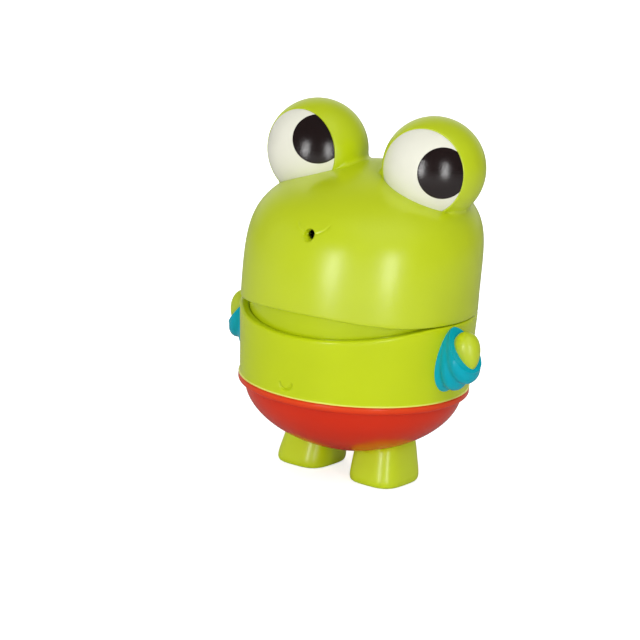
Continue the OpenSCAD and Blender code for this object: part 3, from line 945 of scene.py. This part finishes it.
def make_torso():
    """The green cup, from its bottom up the outside, over the rim and down the inside."""
    q, r = RIM_ROUND, RIM_INNER_ROUND
    outline = bowl_line(SKIN_R, SKIN_DEPTH, NECK_HOLE_R, 40)
    outline += [(SKIN_R, WAIST_Z - SKIN_GAP), (WAIST_R, WAIST_Z - SKIN_GAP)]
    outline += arc((WAIST_R + WALL_COVE_AT[0], WAIST_Z + WALL_COVE_AT[1]), WALL_COVE, 180, 270, 5)
    start = WAIST_Z + WALL_START
    outline += line((wall_radius(start), start), (RIM_R, SPLIT_Z - q), 22)
    outline += arc((RIM_R - q, SPLIT_Z - q), q, 90, 0, 5)
    outline += arc((BORE_R + r, SPLIT_Z - r), r, 0, -90, 4)
    outline += line((BORE_R, SPLIT_Z - r - RIM_LAND), (BORE_R, RING_LOW), 8)
    outline += [(BORE_R, RING_LOW), (LEDGE_R, RING_LOW)]
    slope_start = (LEDGE_R - LEDGE_SLOPE[0], RING_LOW - LEDGE_SLOPE[1])
    outline += line(slope_start, (INSIDE_R, WAIST_Z + WALL), 8)
    outline += bowl_line(INSIDE_R, INSIDE_DEPTH, NECK_HOLE_R, 36)[::-1]
    shape = spun(outline, FINE_TURN, closed=True)
    press_navel(shape)
    points = places(shape)
    share = smooth_step(points[:, 2], SMILE_ROOT_Z, SPLIT_Z - RIM_LAND)
    points[:, 2] -= SMILE_DIP * soft_arch(points) * share
    put(shape, points)
    finish_piece(shape, "torso_skin", "torso", ["torso_shell"], TORSO_GREEN)


def make_trunks():
    """The red skin round the bowl: its outside, the waistband, and back along the torso."""
    cove, low_round, top_round = BAND_COVE, BAND_LOW_ROUND, BAND_TOP_ROUND
    outline = bowl_line(BOWL_R, BOWL_DEPTH, NECK_HOLE_R, 56)
    outline += arc((BOWL_R + cove, BOWL_Z - BAND_COVE_DROP), cove, 270, 360, 5)[1:]
    outline += arc((BAND_R - low_round, BOWL_Z + BAND_LOW_RISE), low_round, 180, 90, 6)
    outline += arc((BAND_R - top_round, WAIST_Z - top_round), top_round, 90, 0, 6)
    outline += [(SKIN_R + SKIN_GAP, WAIST_Z - SKIN_GAP)]
    outline += bowl_line(SKIN_R + SKIN_GAP, SKIN_DEPTH + SKIN_GAP, NECK_HOLE_R, 48)[::-1]
    shape = spun(outline, FINE_TURN, closed=True)
    finish_piece(shape, "trunks_skin", "torso", ["trunks"], RED)


def make_collar():
    """The ring that joins head and torso, with rounded edges."""
    q = COLLAR_ROUND
    inner = RING_R - COLLAR_WALL
    outline = arc((RING_R - q, RING_TOP - q), q, 0, 90, 4)
    outline += arc((RING_R - q, RING_LOW + q), q, 90, 180, 4)
    outline += arc((inner + q, RING_LOW + q), q, 180, 270, 4)
    outline += arc((inner + q, RING_TOP - q), q, 270, 360, 4)
    shape = spun(outline, COLLAR_TURN, closed=True)
    finish_piece(shape, "collar_skin", "collar", ["neck_ring"], COLLAR_GREEN)


# Feet

def make_foot(side, word):
    """A pad that flares toward its flat sole, pressed to the bowl that it carries."""
    count = len(FOOT_HEIGHT_SHARES)
    shape = spun([(0, 0)] + [(1, k) for k in range(count)] + [(0, count - 1)], SMALL_TURN)
    points = places(shape)
    level = np.rint(points[:, 2]).astype(int)
    width = np.array(FOOT_WIDTH_SHARES)[level]
    blunt = np.sign(points[:, :2]) * np.abs(points[:, :2]) ** FOOT_SQUARE
    shift = FOOT_HEEL * (1 - width) * (level > FOOT_HEEL_LEVEL)
    points[:, 0] = FOOT_W / 2 * (width * blunt[:, 0] - side * shift)
    points[:, 1] = FOOT_LEN / 2 * (width * blunt[:, 1] + shift)
    points[:, 2] = np.array(FOOT_HEIGHT_SHARES)[level] * FOOT_H
    put(shape, points)
    shape = after_modifier(shape, "SUBSURF", levels=2, render_levels=2)
    points = places(shape)
    points[:, 0] += side * FOOT_X
    reach = np.clip(np.hypot(points[:, 0], points[:, 1]) / BOWL_R, 0, 1)
    bowl = BOWL_Z - BOWL_DEPTH * (1 - reach ** (2 / BOWL_SHARE)) ** (BOWL_SHARE / 2)
    points[:, 2] = np.minimum(points[:, 2], bowl + FOOT_SINK)
    put(shape, points)
    bmesh.ops.recalc_face_normals(shape, faces=shape.faces)
    finish_piece(shape, f"{word}_foot_pad", "torso", [f"{word}_foot"], FOOT_GREEN_PAINTED_LIGHTER, sharp=60)


# Arms and armbands

def place_arm(shape, side):
    """Brings a shape from the arm's own place to its side of the body."""
    drop = RIGHT_ARM_DROP if side < 0 else 0
    spot = Matrix.Translation((WAIST_R, -ARM_FRONT, BAND_TOP_Z - drop))
    turn = Matrix.Rotation(math.radians(-ARM_TURN), 4, "Z")
    bmesh.ops.transform(shape, matrix=spot @ turn, verts=shape.verts)
    bmesh.ops.scale(shape, vec=(side, 1, 1), verts=shape.verts)
    bmesh.ops.recalc_face_normals(shape, faces=shape.faces)


def make_arm(side, word):
    """An egg shaped fist with its thick end up, on a straight arm."""
    turns = [math.pi * i / EGG_STEPS for i in range(EGG_STEPS + 1)]
    egg = [
        (FIST_R * math.sin(t) * (1 - EGG_SHARE * math.cos(t)), FIST_LEN * (1 - math.cos(t)) / 2)
        for t in turns
    ]
    egg[0], egg[-1] = (0, 0), (0, FIST_LEN)
    lean = math.radians(FIST_LEAN)
    upward = Vector((-math.sin(lean), 0, math.cos(lean)))
    shoulder = Vector((FIST_OUT, 0, -FIST_DROP))
    shape = moved(spun(egg, PLAIN_TURN), shoulder - upward * FIST_LEN, upward)
    reach = FIST_OUT + ARM_ROOT
    rod = spun([(0, 0), (ARM_R, 0), (ARM_R, reach), (0, reach)], SMALL_TURN)
    shape = combined(shape, moved(rod, shoulder + Vector((0, 0, -FIST_LEN / 2)), (-1, 0, 0)), "UNION")
    place_arm(shape, side)
    finish_piece(shape, f"{word}_fist", "torso", [f"{word}_arm"], FIST_GREEN)


def make_armband(side, word):
    """Three soft rolls that fan out from a pinch at the top."""
    rings = [(1, k) for k in range(ROLL_STEPS + 1)]
    shape = spun([(0, 0)] + rings + [(0, ROLL_STEPS)], PLAIN_TURN)
    points = places(shape)
    share = points[:, 2] / ROLL_STEPS
    ring = np.hypot(points[:, 0], points[:, 1])
    turn = np.arctan2(points[:, 1], points[:, 0])
    down = (1 - np.cos(turn)) / 2
    groove = ROLL_GROOVE * np.abs(np.cos(share**ROLL_BUNCH * math.pi * ROLL_COUNT)) ** 3 * down
    long = ROLL_IN_LEN + (ROLL_OUT_LEN - ROLL_IN_LEN) * share - 2 * groove
    middle = long * ROLL_MIDDLE
    along = middle + ring * (long * (ROLL_PINCH + (1 - ROLL_PINCH) * down) - middle)
    across = ring * (ROLL_W / 2 - groove) * np.sin(turn) * (ROLL_TOP_SHARE + ROLL_LOW_SHARE * down)
    lean = np.radians(ROLL_LEAN * share - ROLL_TUCK * (1 - share))
    points[:, 0] = ROLL_INSET * (1 - ring * down) + along * np.sin(lean)
    points[:, 1] = -across
    points[:, 2] = -along * np.cos(lean)
    put(shape, points)
    place_arm(shape, side)
    finish_piece(shape, f"{word}_roll_band", "torso", [f"{word}_armband"], TEAL, sharp=50)


# The stage: camera, room, floor and lights

def make_camera():
    """The photograph's view: the aim point shows at AIM_PX."""
    back = toward(CAMERA_TURN, CAMERA_LIFT)
    level = Vector((math.cos(math.radians(CAMERA_TURN)), math.sin(math.radians(CAMERA_TURN)), 0))
    rise = back.cross(level)
    roll = math.radians(CAMERA_ROLL)
    right = math.cos(roll) * level + math.sin(roll) * rise
    top = -math.sin(roll) * level + math.cos(roll) * rise
    off_x = (AIM_PX[0] - IMAGE_PX / 2) / FOCAL_PX
    off_y = (IMAGE_PX / 2 - AIM_PX[1]) / FOCAL_PX
    sight = (-back - off_x * right - off_y * top).normalized()
    right = (right - right.dot(sight) * sight).normalized()
    data = bpy.data.cameras.new("photo_view")
    data.sensor_width = SENSOR
    data.lens = FOCAL_PX * SENSOR / IMAGE_PX
    data.clip_start, data.clip_end = CLIP
    camera = new_object("photo_view", data)
    turn = Matrix((right, (-sight).cross(right), -sight)).transposed()
    spot = Vector((0, 0, AIM_Z)) * MM + back * CAMERA_REACH * MM
    camera.matrix_world = Matrix.Translation(spot) @ turn.to_4x4()
    bpy.context.scene.camera = camera


def make_light(name, spot, aim, size, power):
    """A softbox at a spot that faces its aim; no camera sees the box itself."""
    data = bpy.data.lights.new(name, "AREA")
    data.shape = "RECTANGLE"
    data.size, data.size_y = size
    data.energy = power
    lamp = new_object(name, data)
    lamp.location = spot
    lamp.rotation_euler = (spot - aim).to_track_quat("Z", "Y").to_euler()
    lamp.visible_camera = False
    return lamp


def make_lights():
    """Two tall softboxes that reflections show, and the fills that they don't."""
    middle = Vector((0, 0, STRIP_Z))
    for name, (turn, power) in STRIPS.items():
        make_light(name, middle + toward(turn, 0) * STRIP_REACH, middle, STRIP_SIZE, power)
    for name, (turn, lift, reach, size, power) in FILLS.items():
        lamp = make_light(name, toward(turn, lift) * reach, FILL_AIM, size, power)
        lamp.visible_glossy = False


def make_room():
    """A white room to the camera, with a dimmer near side in reflections."""
    world = bpy.data.worlds.new("white_room")
    bpy.context.scene.world = world
    world.use_nodes = True
    nodes, links = world.node_tree.nodes, world.node_tree.links
    nodes.clear()
    out = new_node(nodes, "OutputWorld")
    path = new_node(nodes, "LightPath")
    coords = new_node(nodes, "TexCoord")
    behind = new_node(nodes, "VectorMath")
    behind.operation = "DOT_PRODUCT"
    behind.inputs[1].default_value = -toward(CAMERA_TURN, 0)
    links.new(coords.outputs["Generated"], behind.inputs[0])
    room = new_node(nodes, "MapRange", To_Min=ROOM_SHADE, To_Max=ROOM_BACK)
    room.inputs["From Min"].default_value, room.inputs["From Max"].default_value = BACK_EDGE
    links.new(behind.outputs["Value"], room.inputs["Value"])
    shine = new_node(nodes, "MapRange", To_Min=WORLD_LIGHT)
    links.new(path.outputs["Is Glossy Ray"], shine.inputs["Value"])
    links.new(room.outputs["Result"], shine.inputs["To Max"])
    strength = new_node(nodes, "Math")
    strength.operation = "MAXIMUM"
    links.new(path.outputs["Is Camera Ray"], strength.inputs[0])
    links.new(shine.outputs["Result"], strength.inputs[1])
    sky = new_node(nodes, "Background", Color=(1, 1, 1, 1))
    links.new(strength.outputs["Value"], sky.inputs["Strength"])
    links.new(sky.outputs["Background"], out.inputs["Surface"])


def make_floor():
    """Pale ground that glows a little to the camera and looks darker in reflections."""
    plane = bmesh.new()
    bmesh.ops.create_grid(plane, x_segments=2, y_segments=2, size=FLOOR_HALF)
    mesh = new_mesh("floor", plane)
    floor = new_object("floor", mesh)
    ground = bpy.data.materials.new("pale_floor")
    ground.use_nodes = True
    nodes, links = ground.node_tree.nodes, ground.node_tree.links
    nodes.clear()
    out = new_node(nodes, "OutputMaterial")
    matte = new_node(nodes, "BsdfDiffuse")
    glow = new_node(nodes, "Emission")
    path = new_node(nodes, "LightPath")
    shade = new_node(nodes, "MapRange", To_Min=FLOOR_ALBEDO, To_Max=FLOOR_MIRROR)
    links.new(path.outputs["Is Glossy Ray"], shade.inputs["Value"])
    links.new(shade.outputs["Result"], matte.inputs["Color"])
    level = new_node(nodes, "Math")
    level.operation = "MULTIPLY"
    level.inputs[1].default_value = FLOOR_GLOW
    links.new(path.outputs["Is Camera Ray"], level.inputs[0])
    links.new(level.outputs["Value"], glow.inputs["Strength"])
    both = new_node(nodes, "AddShader")
    links.new(matte.outputs["BSDF"], both.inputs[0])
    links.new(glow.outputs["Emission"], both.inputs[1])
    links.new(both.outputs["Shader"], out.inputs["Surface"])
    mesh.materials.append(ground)


make_camera()
make_room()
make_floor()
make_lights()

make_head()
make_eye(1, "left", LEFT_GLANCE)
make_eye(-1, "right", RIGHT_GLANCE)
make_torso()
make_trunks()
make_collar()
for side, word in ((1, "left"), (-1, "right")):
    make_foot(side, word)
    make_arm(side, word)
    make_armband(side, word)

# The squeaker's nodes keep their shapes and get their finishes
for node, material in (("squeaker_case", PLASTIC), ("squeaker_lid", PLASTIC), ("squeaker_reed", BRASS)):
    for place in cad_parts[node].material_slots:
        place.material = material

bpy.context.scene.view_settings.view_transform = "Standard"
